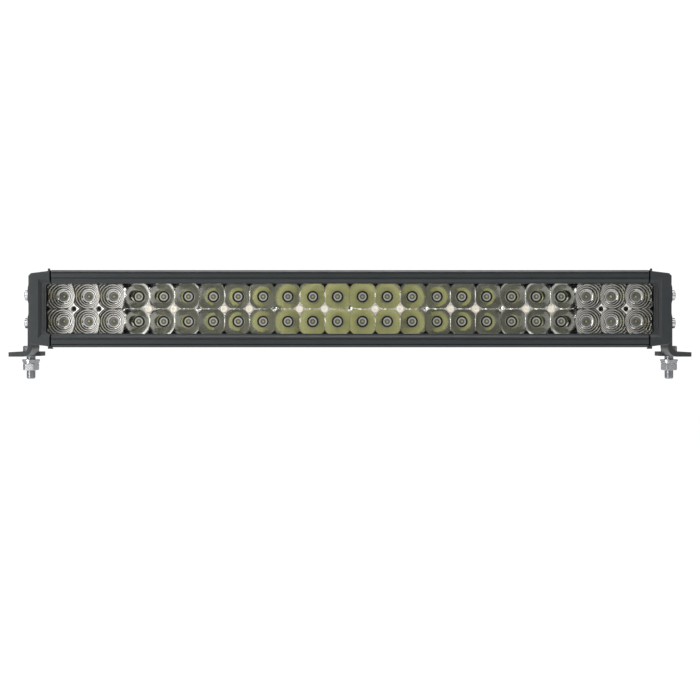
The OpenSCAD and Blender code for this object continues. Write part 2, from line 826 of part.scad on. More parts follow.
housing();
upper_bezel();
lower_bezel();
lens();
lens_seal();
left_end_cap();
right_end_cap();
left_cap_gasket();
right_cap_gasket();
left_lens_bead();
right_lens_bead();
left_cap_screws();
right_cap_screws();
left_led_board();
right_led_board();
thermal_pads();
led_packages();
led_dies();
led_domes();
left_flood_reflector();
right_flood_reflector();
spot_reflector_1();
spot_reflector_2();
spot_reflector_3();
spot_reflector_4();
spot_reflector_5();
spot_reflector_6();
flood_reflector_screws();
spot_reflector_screws();
driver_board();
driver_inductors();
driver_capacitors();
driver_chips();
gland_body();
gland_seal();
gland_cap();
breather_vent();
left_bracket();
right_bracket();
pivot_bushes();
lock_spacers();
screw_flat_washers();
screw_spring_washers();
pivot_screws();
lock_screws();
foot_bolts();
foot_flat_washers();
foot_spring_washers();
foot_nuts();
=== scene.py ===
"""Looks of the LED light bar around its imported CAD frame.

Materials, finer optics and LEDs, bevelled metalwork, light and camera. Lengths are in metres. X runs along
the bar, the lamp shines towards -Y and +Z is up. The optics are worked out in the lamp's own frame: x along
the bar, depth behind the front plane, and height over the middle of the lamp.
"""

import math

import bmesh
import bpy
from mathutils import Matrix, Vector


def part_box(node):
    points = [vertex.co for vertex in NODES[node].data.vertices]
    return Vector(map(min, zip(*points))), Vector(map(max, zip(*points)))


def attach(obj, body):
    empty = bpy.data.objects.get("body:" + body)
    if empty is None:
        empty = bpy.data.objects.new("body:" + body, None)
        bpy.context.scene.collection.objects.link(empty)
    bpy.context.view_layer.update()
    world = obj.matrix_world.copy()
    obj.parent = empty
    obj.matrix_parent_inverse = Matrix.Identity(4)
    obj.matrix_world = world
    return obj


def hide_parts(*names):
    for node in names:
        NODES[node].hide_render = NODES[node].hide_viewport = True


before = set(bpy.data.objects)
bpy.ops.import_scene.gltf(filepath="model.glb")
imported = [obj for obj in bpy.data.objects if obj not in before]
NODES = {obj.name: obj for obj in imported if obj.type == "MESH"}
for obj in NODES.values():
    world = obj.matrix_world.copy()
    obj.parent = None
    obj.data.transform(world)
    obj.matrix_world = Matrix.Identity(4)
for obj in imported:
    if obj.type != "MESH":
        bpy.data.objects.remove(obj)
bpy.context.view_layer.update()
MM = 0.001
# Points closer than this count as the same place
CLOSE = 0.001 * MM

# ---- Sizes from the frame ----

led_low, led_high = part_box("led_packages")
body_low, body_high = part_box("housing")

COLUMNS = 24
ROWS = 2
MODULE_COLUMNS = 3
MODULES = COLUMNS // MODULE_COLUMNS
# The box over all LED bases is (COLUMNS - 1) pitches and one base wide, and one pitch and one base high
PITCH = ((led_high.x - led_low.x) - (led_high.z - led_low.z)) / (COLUMNS - ROWS)
BASE_R = ((led_high.z - led_low.z) - PITCH) / 2
FRONT_Y = body_low.y
MIDDLE_Z = (body_low.z + body_high.z) / 2
HALF = PITCH / 2

# Depths behind the front plane
BASE_BACK = led_high.y - FRONT_Y
BASE_FRONT = led_low.y - FRONT_Y
RIM_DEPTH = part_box("spot_reflector_1")[0].y - FRONT_Y
REFLECTOR_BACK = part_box("spot_reflector_1")[1].y - FRONT_Y
DOME_R = BASE_FRONT - (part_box("led_domes")[0].y - FRONT_Y)

# The focus of a cell's paraboloid is at the foot of the phosphor
FOCAL = 2.5 * MM
VERTEX = BASE_FRONT + FOCAL
THROAT_R = 5.2 * MM
RIM_MARGIN = 0.05 * MM
RIM_R = math.sqrt(4 * FOCAL * (VERTEX - RIM_DEPTH)) - RIM_MARGIN
BOSS_R = 12.1 * MM
BOSS_DEPTH = VERTEX - BOSS_R**2 / (4 * FOCAL)

# The flood cells are a little flatter and wider, longer at the end of the lamp, and ringed outside RINGS_R
FLOOD_FOCAL = 2.79 * MM
FLOOD_THROAT_R = 3.95 * MM
RINGS_R = 4.7 * MM
FLOOD_RIM_R = math.sqrt(4 * FLOOD_FOCAL * (VERTEX - RIM_DEPTH)) - RIM_MARGIN
FLOOD_BOSS_R = 12.6 * MM
FLOOD_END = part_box("right_flood_reflector")[1].x - MODULES * MODULE_COLUMNS * PITCH / 2

# The free edges of an end cap's front face: its outer end, and its top and bottom edges beside the housing
CAP_END_X = body_high.x + 17.5 * MM
CAP_EDGE_X = body_high.x + 2.5 * MM
CAP_EDGE_HEIGHT = 31.1 * MM


def column_x(column):
    """X of a column of LEDs, counted from the left."""
    return (column - (COLUMNS - 1) / 2) * PITCH


def module_x(module):
    """X of the middle of a reflector module, counted from the left."""
    return (module - (MODULES - 1) / 2) * MODULE_COLUMNS * PITCH


# ---- Materials ----


class Shader:
    """A material under construction: its node tree and its Principled shader."""

    def __init__(self, name):
        self.material = bpy.data.materials.new(name)
        self.material.use_nodes = True
        self.tree = self.material.node_tree
        self.principled = self.tree.nodes["Principled BSDF"]

    def node(self, kind, **inputs):
        """A new node, with its input sockets set to values or linked to sockets."""
        made = self.tree.nodes.new(kind)
        for name, value in inputs.items():
            self.put(made, name.replace("_", " "), value)
        return made

    def put(self, node, name, value):
        """Sets an input socket of a node to a value, or links it to a socket."""
        socket = node.inputs[name]
        if isinstance(value, bpy.types.NodeSocket):
            self.tree.links.new(value, socket)
        else:
            socket.default_value = value

    def set(self, **inputs):
        """Sets or links sockets of the Principled shader."""
        for name, value in inputs.items():
            self.put(self.principled, name.replace("_", " "), value)

    def noise(self, per_metre, detail=4.0):
        """Noise from 0 to 1 whose cells are about 1 / per_metre wide."""
        place = self.node("ShaderNodeTexCoord").outputs["Object"]
        texture = self.node("ShaderNodeTexNoise", Vector=place, Scale=per_metre, Detail=detail)
        self.put(texture, "Roughness", 0.55)
        return texture.outputs["Fac"]

    def ramp(self, noise, low, high):
        """Noise, most of which lies from 0.3 to 0.7, becomes a number from low to high."""
        scaled = self.node("ShaderNodeMapRange", Value=noise)
        self.put(scaled, "From Min", 0.3)
        self.put(scaled, "From Max", 0.7)
        self.put(scaled, "To Min", low)
        self.put(scaled, "To Max", high)
        return scaled.outputs["Result"]

    def blend(self, noise, low, high):
        """Noise becomes a colour from low to high."""
        mix = self.tree.nodes.new("ShaderNodeMix")
        mix.data_type = "RGBA"
        self.tree.links.new(self.ramp(noise, 0.0, 1.0), mix.inputs["Factor"])
        colours = [s for s in mix.inputs if s.type == "RGBA"]
        colours[0].default_value = (*low, 1)
        colours[1].default_value = (*high, 1)
        return next(s for s in mix.outputs if s.type == "RGBA")

    def bump(self, height, distance, strength, normal=None):
        """Raises the surface by height times distance, on top of another bump's normal."""
        made = self.node("ShaderNodeBump", Height=height, Distance=distance, Strength=strength)
        if normal is not None:
            self.put(made, "Normal", normal)
        return made.outputs["Normal"]


def powder_coat(name, low, high, roughness):
    """Satin powder coat: fine orange peel, faint mottling of the colour."""
    s = Shader(name)
    peel = s.bump(s.noise(2200, 2.0), 0.02 * MM, 0.5)
    s.set(Base_Color=s.blend(s.noise(60, 5.0), low, high))
    s.set(Normal=s.bump(s.noise(320, 3.0), 0.02 * MM, 0.5, peel))
    s.set(Roughness=s.ramp(s.noise(140, 4.0), roughness - 0.04, roughness + 0.05))
    return s.material


def plated_steel(name, low, high, roughness, metallic=1.0):
    """Plated or blackened metal: cloudy tone, very fine grain, a little uneven gloss."""
    s = Shader(name)
    s.set(Base_Color=s.blend(s.noise(420, 5.0), low, high), Metallic=metallic)
    s.set(Roughness=s.ramp(s.noise(900, 5.0), roughness - 0.07, roughness + 0.1))
    s.set(Normal=s.bump(s.noise(3500, 3.0), 0.01 * MM, 0.6))
    return s.material


def mirror_coat(name, colour, roughness, grain):
    """Vacuum-metallised plastic, mirror-smooth or satin, with slight waviness from the mould."""
    s = Shader(name)
    wave = s.bump(s.noise(260, 2.0), 0.02 * MM, grain)
    s.set(Base_Color=s.blend(s.noise(500, 4.0), [c * 0.94 for c in colour], colour), Metallic=1.0)
    s.set(Roughness=s.ramp(s.noise(1200, 4.0), roughness, roughness + 0.05), Normal=wave)
    return s.material


def moulded(name, low, high, roughness, grain=0.03):
    """Moulded plastic or rubber with a fine grain."""
    s = Shader(name)
    s.set(Base_Color=s.blend(s.noise(300, 4.0), low, high))
    s.set(Roughness=s.ramp(s.noise(700, 4.0), roughness - 0.06, roughness + 0.06))
    s.set(Normal=s.bump(s.noise(2600, 3.0), grain * MM, 0.6))
    return s.material


def clear_plate(name):
    """Clear polycarbonate: see-through, with a Fresnel reflection where light enters the plate."""
    s = Shader(name)
    fresnel = s.node("ShaderNodeFresnel", IOR=1.58)
    entering = s.node("ShaderNodeMath")
    entering.operation = "LESS_THAN"
    s.tree.links.new(s.node("ShaderNodeNewGeometry").outputs["Backfacing"], entering.inputs[0])
    haze = s.ramp(s.noise(35, 3.0), 0.0, 0.012)
    alpha = s.node("ShaderNodeMath")
    alpha.operation = "MULTIPLY_ADD"
    s.tree.links.new(fresnel.outputs["Fac"], alpha.inputs[0])
    s.tree.links.new(entering.outputs["Value"], alpha.inputs[1])
    s.tree.links.new(haze, alpha.inputs[2])
    s.set(Base_Color=(0.96, 0.98, 0.98, 1), Metallic=1.0, Alpha=alpha.outputs["Value"])
    s.set(Roughness=s.ramp(s.noise(90, 3.0), 0.02, 0.05))
    return s.material


def silicone_dome(name):
    """Clear silicone of the LED domes: faintly uneven, and a weaker lens than glass."""
    s = Shader(name)
    s.set(Base_Color=(0.98, 0.98, 0.95, 1), Transmission_Weight=1.0, IOR=1.12)
    s.set(Roughness=s.ramp(s.noise(1500, 3.0), 0.0, 0.03))
    return s.material


def phosphor(name):
    """Yellow phosphor with a faint grain, and a faint painted glow that stands in for the light the dome
    gathers on it.
    """
    s = Shader(name)
    s.set(Base_Color=s.blend(s.noise(6000, 4.0), (0.44, 0.44, 0.19), (0.52, 0.52, 0.24)))
    s.set(Roughness=s.ramp(s.noise(5000, 3.0), 0.5, 0.7))
    # Painted glow: the unlit phosphor gives off a little light of its own, in place of the light the dome
    # gathers on it
    s.set(Emission_Color=(0.49, 0.49, 0.23, 1), Emission_Strength=0.25)
    return s.material


PAINT = powder_coat("anthracite_powder_coat", (0.014, 0.018, 0.020), (0.018, 0.022, 0.024), 0.45)
BRACKET_PAINT = powder_coat("bracket_powder_coat", (0.020, 0.024, 0.026), (0.024, 0.028, 0.030), 0.42)
ZINC = plated_steel("bright_zinc", (0.50, 0.51, 0.53), (0.64, 0.65, 0.65), 0.30)
BOLT_STEEL = plated_steel("dark_zinc", (0.24, 0.25, 0.27), (0.33, 0.34, 0.36), 0.34)
NICKEL = plated_steel("nickel", (0.90, 0.84, 0.72), (0.98, 0.92, 0.80), 0.38, 0.4)
BLACK_SCREW = plated_steel("black_oxide", (0.03, 0.03, 0.03), (0.06, 0.06, 0.06), 0.4)
MIRROR = mirror_coat("metallised_mirror", (0.84, 0.84, 0.80), 0.05, 0.03)
FLOOD_MIRROR = mirror_coat("metallised_flood", (0.34, 0.335, 0.31), 0.08, 0.1)
TERRACE_FINISH = mirror_coat("metallised_terrace", (0.97, 0.95, 0.91), 0.40, 0.1)
FLOOD_FLOOR = mirror_coat("metallised_floor", (0.52, 0.51, 0.48), 0.45, 0.1)
SATIN_MIRROR = mirror_coat("metallised_flat", (0.72, 0.70, 0.67), 0.45, 0.1)
RUBBER = moulded("black_rubber", (0.016, 0.016, 0.017), (0.026, 0.026, 0.027), 0.7)
NYLON = moulded("black_nylon", (0.020, 0.021, 0.022), (0.030, 0.031, 0.032), 0.5)
SOLDER_MASK = moulded("black_solder_mask", (0.012, 0.012, 0.013), (0.022, 0.022, 0.023), 0.35, 0.01)
RING_PLATE = plated_steel("led_ring", (0.70, 0.70, 0.67), (0.78, 0.78, 0.75), 0.32, 0.5)
SUBSTRATE = moulded("led_substrate", (0.19, 0.19, 0.155), (0.23, 0.23, 0.19), 0.4, 0.01)
FLOOD_BASE = moulded("led_flood_base", (0.26, 0.26, 0.225), (0.31, 0.31, 0.27), 0.4, 0.01)
PAD = moulded("thermal_pad", (0.30, 0.35, 0.40), (0.36, 0.41, 0.47), 0.8)
GREEN_BOARD = moulded("green_solder_mask", (0.03, 0.13, 0.06), (0.05, 0.18, 0.09), 0.35, 0.01)
FERRITE = moulded("ferrite", (0.04, 0.04, 0.04), (0.07, 0.07, 0.07), 0.75)
CAPACITOR = moulded("capacitor_sleeve", (0.02, 0.03, 0.08), (0.03, 0.05, 0.12), 0.3, 0.01)
LENS = clear_plate("clear_polycarbonate")
DOME = silicone_dome("silicone_dome")
PHOSPHOR = phosphor("yellow_phosphor_painted_glow")


# ---- Meshes ----


def piece_from(mesh, name, material, body, slot, *nodes):
    """A new piece of this mesh that rides on a body and stands for CAD nodes. The slot argument is not used.
    """
    piece = bpy.data.objects.new(name, mesh)
    bpy.context.scene.collection.objects.link(piece)
    piece.data.materials.clear()
    piece.data.materials.append(material)
    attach(piece, body)
    if nodes:
        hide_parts(*nodes)
    return piece


def smooth(mesh, angle):
    """Smooth shading, with edges sharper than the angle left crisp."""
    mesh.polygons.foreach_set("use_smooth", [True] * len(mesh.polygons))
    mesh.set_sharp_from_angle(angle=math.radians(angle))


def on_free_edge(vertex):
    """Whether a vertex of an end cap is on a free edge of its front face."""
    x, depth, height = abs(vertex.co.x), vertex.co.y - FRONT_Y, abs(vertex.co.z - MIDDLE_Z)
    along = x > CAP_EDGE_X and height > CAP_EDGE_HEIGHT
    return abs(depth) < 10 * CLOSE and (x > CAP_END_X or along)


def softened(node, material, body, slot, width, front_chamfer=0.0):
    """A copy of a CAD node with its edges bevelled, which stands for the node."""
    bm = bmesh.new()
    bm.from_mesh(NODES[node].data)
    bmesh.ops.remove_doubles(bm, verts=bm.verts, dist=CLOSE)
    bmesh.ops.dissolve_limit(bm, angle_limit=math.radians(0.5), verts=bm.verts, edges=bm.edges)
    if front_chamfer:
        outline = [e for e in bm.edges if all(on_free_edge(v) for v in e.verts) and not e.is_boundary]
        bmesh.ops.bevel(bm, geom=outline, offset=front_chamfer, segments=2, profile=0.5, affect="EDGES")
    mesh = bpy.data.meshes.new(node + "_soft")
    bm.to_mesh(mesh)
    bm.free()
    piece = piece_from(mesh, node + "_soft", material, body, slot, node)
    bevel = piece.modifiers.new("edges", "BEVEL")
    bevel.width = width
    bevel.segments = 2
    bevel.limit_method = "ANGLE"
    bevel.angle_limit = math.radians(32)
    bevel.use_clamp_overlap = True
    weighted = piece.modifiers.new("normals", "WEIGHTED_NORMAL")
    weighted.keep_sharp = True
    smooth(mesh, 75)
    return piece


def lathe(profile, segments):
    """Vertices and faces of a profile of (radius, y) turned round the Y axis."""
    verts = []
    faces = []
    for r, y in profile:
        for k in range(segments):
            a = 2 * math.pi * k / segments
            verts.append((r * math.cos(a), y, r * math.sin(a)))
    for i in range(len(profile) - 1):
        for k in range(segments):
            here = i * segments + k
            beside = i * segments + (k + 1) % segments
            faces.append((here, beside, beside + segments, here + segments))
    return verts, faces


def lathes_at(name, profile, segments, places, sharp=40):
    """One mesh with the same lathe at each place, closed at its ends where the radius is 0."""
    verts, faces = lathe(profile, segments)
    bm = bmesh.new()
    for place in places:
        made = [bm.verts.new(Vector(v) + Vector(place)) for v in verts]
        for face in faces:
            bm.faces.new([made[i] for i in face])
    bmesh.ops.remove_doubles(bm, verts=bm.verts, dist=CLOSE / 2)
    bmesh.ops.recalc_face_normals(bm, faces=bm.faces)
    mesh = bpy.data.meshes.new(name)
    bm.to_mesh(mesh)
    bm.free()
    smooth(mesh, sharp)
    return mesh


def lamp_point(x, depth, height):
    """A point given in the lamp's own frame, in the frame of the part."""
    return (x, FRONT_Y + depth, MIDDLE_Z + height)


def led_places(depth):
    """The point at that depth on the axis of every LED."""
    return [lamp_point(column_x(c), depth, side * HALF) for c in range(COLUMNS) for side in (-1, 1)]


def arc(centre_r, centre_y, radius, start, end, steps):
    """Points of an arc in a (radius, y) profile; angles in degrees from the radius axis."""
    points = []
    for i in range(steps + 1):
        a = math.radians(start + (end - start) * i / steps)
        points.append((centre_r + radius * math.cos(a), centre_y + radius * math.sin(a)))
    return points


# ---- Reflectors ----

RIDGE_ROUNDING = 1.1 * MM
NOTCH_DEPTH = 3.2 * MM
MODULE_GAP = 0.2 * MM

# A flood cell's rings: their pitch, the flat terrace on each, the bulge of the facet above it, and the
# thickness of the floor inside them
RING_PITCH = 1.72 * MM
TERRACE = 0.42 * MM
FACET_BULGE = 0.05 * MM
FLOOR_T = 0.3 * MM

# Strips of faces up the wall of a spot cell and up one facet, and the last ones' distances from the rim
WALL_STRIPS = 21
FACET_STRIPS = 4
RIM_BAND = 0.8 * MM
TO_RIM = [0.65 * MM, 0.5 * MM, 0.37 * MM, 0.25 * MM, 0.12 * MM, 0.0]

# Points of an outline in half a straight edge and round a cut corner
EDGE_POINTS = 7
CUT_POINTS = 8

# A screw boss: the radius of its hole, the radius where the hole's chamfer starts, and the chamfer's depth
HOLE_R = 1.7 * MM
CHAMFER_R = 3.6 * MM
FLOOD_HOLE_R = 1.85 * MM
FLOOD_CHAMFER_R = FLOOD_HOLE_R + 0.8 * MM
CHAMFER_DEPTH = 0.7 * MM

# Material slots of a moulding; FLAT is the screw bosses and the terraces
MIRRORED, BLACK, FLAT, FLOOR = range(4)


class Moulding:
    """The mesh of one reflector module, built cell by cell around its middle."""

    def __init__(self, flood):
        self.flood = flood
        self.focal = FLOOD_FOCAL if flood else FOCAL
        self.rim_r = FLOOD_RIM_R if flood else RIM_R
        self.boss_r = FLOOD_BOSS_R if flood else BOSS_R
        self.boss_depth = self.paraboloid(self.boss_r)
        self.hole_r = FLOOD_HOLE_R if flood else HOLE_R
        self.chamfer_r = FLOOD_CHAMFER_R if flood else CHAMFER_R
        self.bm = bmesh.new()

    def paraboloid(self, r):
        """Depth of the plain cell surface at radius r."""
        return VERTEX - r * r / (4 * self.focal)

    def depth(self, r):
        """Depth of the mirror at radius r; a flood cell climbs in rings, each with a narrow flat terrace."""
        if not self.flood:
            return self.paraboloid(r)
        floor = REFLECTOR_BACK - FLOOR_T
        if r < RINGS_R:
            return floor
        # The small term keeps a radius at the foot of a ring in that ring
        ring = math.floor((r - RINGS_R) / RING_PITCH + 1e-6)
        foot = RINGS_R + ring * RING_PITCH
        climb = max(r - foot - TERRACE, 0) / (RING_PITCH - TERRACE)
        low, high = min(self.paraboloid(foot), floor), self.paraboloid(foot + RING_PITCH)
        return low + (high - low) * climb - FACET_BULGE * math.sin(math.pi * climb)

    def side(self, column, side_x):
        """How far a cell reaches sideways from its axis."""
        return HALF + (FLOOD_END if self.flood and column == 1 and side_x > 0 else 0)

    def has_boss(self, column, side_x):
        """Whether the corner of a cell at mid height holds a screw boss."""
        return abs(column + side_x * 0.5) < 1

    def outline(self, column, row):
        """Angles round the cell, and how far its outline reaches from the axis at each."""
        points = []
        for quadrant in range(4):
            side_x = 1 if quadrant in (0, 3) else -1
            side_z = 1 if quadrant in (0, 1) else -1
            boss = side_z == -row and self.has_boss(column, side_x)
            cut = self.boss_r if boss else self.rim_r
            wide = self.side(column, side_x)
            first, last = math.acos(wide / cut), math.asin(HALF / cut)
            steps = [first * i / EDGE_POINTS for i in range(EDGE_POINTS)]
            steps += [first + (last - first) * i / CUT_POINTS for i in range(CUT_POINTS)]
            steps += [last + (math.pi / 2 - last) * i / EDGE_POINTS for i in range(EDGE_POINTS)]
            turned = [(0, min(cut, wide))]
            turned += [(a, min(cut, wide / math.cos(a), HALF / math.sin(a))) for a in steps[1:]]
            turned.append((math.pi / 2, HALF))
            if quadrant == 0:
                points += turned[:-1]
            elif quadrant == 1:
                points += [(math.pi - a, reach) for a, reach in reversed(turned[1:])]
            elif quadrant == 2:
                points += [(math.pi + a, reach) for a, reach in turned[:-1]]
            else:
                points += [(2 * math.pi - a, reach) for a, reach in reversed(turned[1:])]
        return points

    def surface_depth(self, column, row, x, z):
        """Depth at a point measured from the axis of its cell, rounded over the ridges to its neighbours."""
        best = self.depth(math.hypot(x, z))
        if abs(column + math.copysign(1, x)) <= 1:
            best = rounded_max(best, self.depth(math.hypot(PITCH - abs(x), z)), RIDGE_ROUNDING)
        if z * row < 0:
            best = rounded_max(best, self.depth(math.hypot(x, PITCH - abs(z))), RIDGE_ROUNDING)
        return best

    def flood_steps(self):
        """Radii of a flood cell's mesh from the throat outwards, each with the slot of the strip beyond."""
        steps = [(FLOOD_THROAT_R, FLOOR)]
        r = RINGS_R
        while r < 1.5 * HALF:
            steps.append((r, FLAT))
            for i in range(FACET_STRIPS):
                steps.append((r + TERRACE + (RING_PITCH - TERRACE) * i / FACET_STRIPS, MIRRORED))
            r += RING_PITCH
        return steps

    def cell(self, column, row):
        """One cell: its mirror from throat to outline, and the flat back behind it."""
        outline = self.outline(column, row)
        if self.flood:
            steps = self.flood_steps()
        else:
            steps = [(i / WALL_STRIPS, MIRRORED) for i in range(WALL_STRIPS + 1)]
        rings = []
        slots = []
        for step, slot in steps + [(None, MIRRORED)] * len(TO_RIM):
            ring = []
            for a, reach in outline:
                inside = reach - RIM_BAND
                if step is None:
                    r = reach - TO_RIM[len(rings) - len(steps)]
                elif self.flood:
                    r = min(step, inside)
                else:
                    r = THROAT_R + (inside - THROAT_R) * step
                x, z = r * math.cos(a), r * math.sin(a)
                depth = self.surface_depth(column, row, x, z)
                ring.append(self.bm.verts.new(lamp_point(column * PITCH + x, depth, row * HALF + z)))
            rings.append(ring)
            slots.append(slot)
        back = []
        for a, reach in outline:
            x, z = reach * math.cos(a), reach * math.sin(a)
            back.append(self.bm.verts.new(lamp_point(column * PITCH + x, REFLECTOR_BACK, row * HALF + z)))
        for near, far, slot in zip(rings, rings[1:], slots):
            self.strip(near, far, slot)
        self.strip(back, rings[0], BLACK)
        self.walls(column, row, rings[-1], back)

    def strip(self, near, far, slot):
        """Faces between two loops of points, in a material slot."""
        count = len(near)
        for k in range(count):
            n = (k + 1) % count
            self.bm.faces.new((near[k], near[n], far[n], far[k])).material_index = slot

    def walls(self, column, row, rim, back):
        """Walls from rim to back where the cell meets no other cell: outer sides, cut corners, bosses."""
        count = len(rim)
        for k in range(count):
            n = (k + 1) % count
            middle = (rim[k].co + rim[n].co) / 2
            x = middle.x - column * PITCH
            z = middle.z - MIDDLE_Z - row * HALF
            on_side = abs(x) > HALF - CLOSE and abs(column + math.copysign(1, x)) <= 1
            on_middle = abs(z) > HALF - CLOSE and z * row < 0
            if on_side or on_middle:
                continue
            inner = z * row < 0
            boss = inner and self.has_boss(column, math.copysign(1, x))
            if inner and not boss and not (self.flood and x > 0):
                self.notch(column, row, (rim[k], rim[n]), (back[k], back[n]))
                continue
            wall = self.bm.faces.new((rim[n], rim[k], back[k], back[n]))
            wall.material_index = MIRRORED if inner else BLACK

    def notch(self, column, row, rim, back):
        """A slice of the little sunk pyramid where two mouldings meet at mid height."""
        edge = column * (PITCH + HALF)
        apex = self.bm.verts.new(lamp_point(edge, RIM_DEPTH + NOTCH_DEPTH, 0))
        foot = self.bm.verts.new(lamp_point(edge, REFLECTOR_BACK, 0))
        self.bm.faces.new((rim[1], rim[0], apex)).material_index = MIRRORED
        self.bm.faces.new((back[0], back[1], foot)).material_index = BLACK
        for k in range(2):
            if abs(rim[k].co.x - edge) < CLOSE:
                self.bm.faces.new((rim[k], apex, foot, back[k])).material_index = BLACK

    def boss(self, side_x):
        """The flat between four cells round a screw: a concave diamond with a chamfered hole."""
        loop = []
        first, last = math.acos(HALF / self.boss_r), math.asin(HALF / self.boss_r)
        for away_x in (-1, 1):
            for away_z in (-1, 1):
                for i in range(CUT_POINTS + 1):
                    a = first + (last - first) * i / CUT_POINTS
                    x = away_x * (HALF - self.boss_r * math.cos(a))
                    z = away_z * (HALF - self.boss_r * math.sin(a))
                    if i < CUT_POINTS or away_x * away_z > 0:
                        loop.append((x, z))
        # Quadrants share their end points
        loop = sorted({(round(x, 9), round(z, 9)) for x, z in loop}, key=lambda p: math.atan2(p[1], p[0]))
        to_back = REFLECTOR_BACK - self.boss_depth
        steps = [(None, to_back), (None, 0), (self.chamfer_r, 0)]
        steps += [(self.hole_r, CHAMFER_DEPTH), (self.hole_r, to_back)]
        rings = []
        for radius, drop in steps:
            ring = []
            for x, z in loop:
                shrink = 1 if radius is None else radius / math.hypot(x, z)
                point = lamp_point(side_x * HALF + x * shrink, self.boss_depth + drop, z * shrink)
                ring.append(self.bm.verts.new(point))
            rings.append(ring)
        for near, far, slot in zip(rings, rings[1:], (BLACK, FLAT, MIRRORED, BLACK)):
            self.strip(near, far, slot)
        self.strip(rings[-1], rings[0], BLACK)

    def mesh(self, name):
        """The finished mesh of the module, with its cells and bosses joined up."""
        for column in (-1, 0, 1):
            for row in (-1, 1):
                self.cell(column, row)
        for side_x in (-1, 1):
            self.boss(side_x)
        bmesh.ops.remove_doubles(self.bm, verts=self.bm.verts, dist=2 * CLOSE)
        bmesh.ops.recalc_face_normals(self.bm, faces=self.bm.faces)
        mesh = bpy.data.meshes.new(name)
        self.bm.to_mesh(mesh)
        self.bm.free()
        # A hair narrower than three pitches, so that neighbouring mouldings don't touch
        narrowed = 1 - MODULE_GAP / (MODULE_COLUMNS * PITCH)
        mesh.transform(Matrix.Diagonal((narrowed, 1, 1, 1)))
        smooth(mesh, 48)
        return mesh


def rounded_max(a, b, reach):
    """The larger of two depths, with the ridge between them rounded."""
    return max(a, b) + max(reach - abs(a - b), 0) ** 2 / (4 * reach)


def mirrored(mesh):
    """The same mesh, mirrored left to right."""
    made = mesh.copy()
    made.transform(Matrix.Diagonal((-1, 1, 1, 1)))
    made.flip_normals()
    return made


def add_reflectors():
    """A flood module at each end and spot modules between them."""
    spot = Moulding(flood=False).mesh("spot_cells")
    flood = Moulding(flood=True).mesh("flood_cells")
    for mesh, mirror, flat in ((spot, MIRROR, SATIN_MIRROR), (flood, FLOOD_MIRROR, TERRACE_FINISH)):
        for material in (mirror, NYLON, flat, FLOOD_FLOOR):
            mesh.materials.append(material)
    nodes = ["left_flood_reflector"] + [f"spot_reflector_{i}" for i in range(1, MODULES - 1)]
    nodes.append("right_flood_reflector")
    meshes = [mirrored(flood)] + [spot] * (MODULES - 2) + [flood]
    for module, (node, mesh) in enumerate(zip(nodes, meshes)):
        piece = bpy.data.objects.new(node + "_optic", mesh)
        bpy.context.scene.collection.objects.link(piece)
        piece.location.x = module_x(module)
        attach(piece, "lamp")
        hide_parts(node)


def add_reflector_screws():
    """Screws through the bosses of the spot modules: round heads with a round socket."""
    head_r = 3.15 * MM
    rounding = 0.9 * MM
    shank_r = 1.5 * MM
    tip = BASE_BACK + 3 * MM
    top = BOSS_DEPTH - 2.2 * MM
    socket_floor = top + 1.1 * MM
    profile = [(0, socket_floor), (1.15 * MM, socket_floor), (1.3 * MM, top + 0.1 * MM), (1.5 * MM, top)]
    profile += arc(head_r - rounding, top + rounding, rounding, -90, 0, 6)
    profile += [(head_r, BOSS_DEPTH), (shank_r, BOSS_DEPTH), (shank_r, tip), (0, tip)]
    places = []
    for module in range(1, MODULES - 1):
        for side in (-1, 1):
            places.append(lamp_point(module_x(module) + side * HALF, 0, 0))
    mesh = lathes_at("optic_screws", profile, 32, places)
    piece_from(mesh, "optic_screws", NICKEL, "lamp", "reflector_screw", "spot_reflector_screws")


# ---- LEDs ----

# The light ring on the front of a base ends at RING_R, where the base steps back. The substrate lies in a
# well inside the ring, and the dome reaches a little into the substrate.
RING_R = 3.55 * MM
RING_STEP = 0.4 * MM
WELL_DEPTH = 0.3 * MM
SUBSTRATE_R = DOME_R - 0.04 * MM
SUBSTRATE_T = 0.25 * MM
LENS_R = DOME_R - 0.02 * MM
DOME_BOND = 0.12 * MM
PHOSPHOR_R = 0.8 * MM
PHOSPHOR_LIFT = 0.01 * MM


def add_led_bases():
    """The base of each LED: a light ring in front, plated in the spot cells and matt in the flood cells."""
    base_t = BASE_BACK - BASE_FRONT
    base = [(DOME_R, WELL_DEPTH), (DOME_R, 0), (RING_R, 0), (RING_R, RING_STEP), (BASE_R, RING_STEP)]
    base += [(BASE_R, base_t), (0, base_t), (0, WELL_DEPTH)]
    mesh = lathes_at("led_bases", base, 40, led_places(BASE_FRONT))
    piece = piece_from(mesh, "led_bases", RING_PLATE, "lamp", "led_base", "led_packages")
    piece.data.materials.append(SUBSTRATE)
    piece.data.materials.append(FLOOD_BASE)
    spot_ring, elsewhere, flood_ring = range(3)
    spot_end = HALF - column_x(MODULE_COLUMNS)
    for face in mesh.polygons:
        in_front = face.normal.y < -0.5 and face.center.y < FRONT_Y + BASE_FRONT + 0.1 * MM
        ring = spot_ring if abs(face.center.x) < spot_end else flood_ring
        face.material_index = ring if in_front else elsewhere


